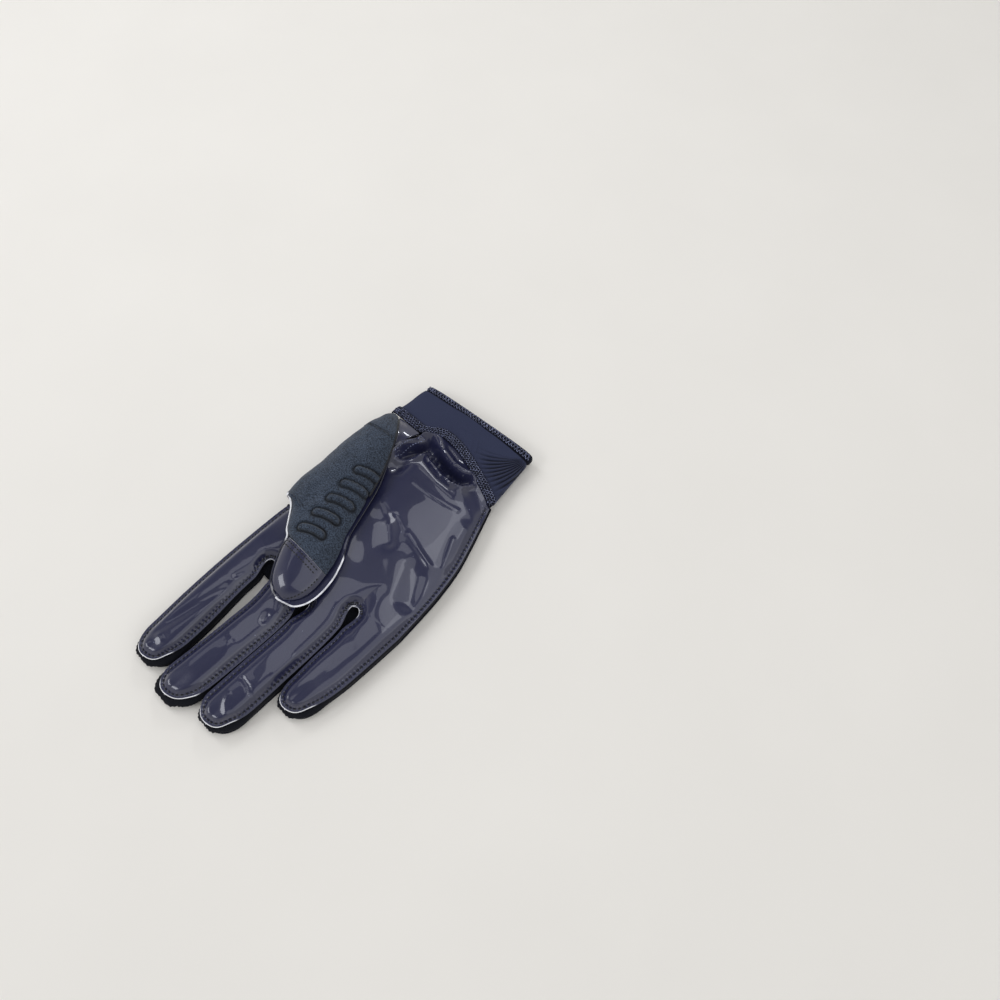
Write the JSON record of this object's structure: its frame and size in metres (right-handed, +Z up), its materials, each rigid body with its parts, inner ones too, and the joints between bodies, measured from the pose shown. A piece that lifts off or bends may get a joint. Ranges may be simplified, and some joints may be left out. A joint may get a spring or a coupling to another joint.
{
  "type": "football receiver glove",
  "caption": "Right-hand receiver glove lying palm up, glossy tacky palm, knitted back, short stretch cuff, thumb folded over the palm.",
  "frame": {"origin": "centre of the glove's bounding box, on the surface it lies on", "axes": "+Z up out of the palm, fingers point to -Y, cuff opens to +Y, thumb side is -X"},
  "size_m": [0.1136, 0.2438, 0.027],
  "materials": {
    "silicone_coat": "high-gloss tacky silicone coat",
    "hand_knit": "fine knit",
    "gusset_cloth": "matt stretch cloth",
    "brushed_stretch": "brushed stretch cloth, embossed",
    "cuff_elastic": "smooth stretch cloth",
    "cuff_binding": "flat stitched band"
  },
  "bodies": {
    "root": {"palm_panel": "silicone_coat", "back_panel": "hand_knit", "gusset_index_middle": "gusset_cloth", "gusset_middle_ring": "gusset_cloth", "gusset_ring_little": "gusset_cloth", "side_wall_index": "gusset_cloth", "side_wall_little": "gusset_cloth", "wrist_gusset": "brushed_stretch", "thumb_back_panel": "brushed_stretch", "thumb_cap": "silicone_coat", "thumb_base_panel": "silicone_coat", "thumb_palm_panel": "silicone_coat", "cuff_band": "cuff_elastic", "cuff_hem": "cuff_binding", "cuff_seam_band": "cuff_binding"}
  },
  "joints": []
}
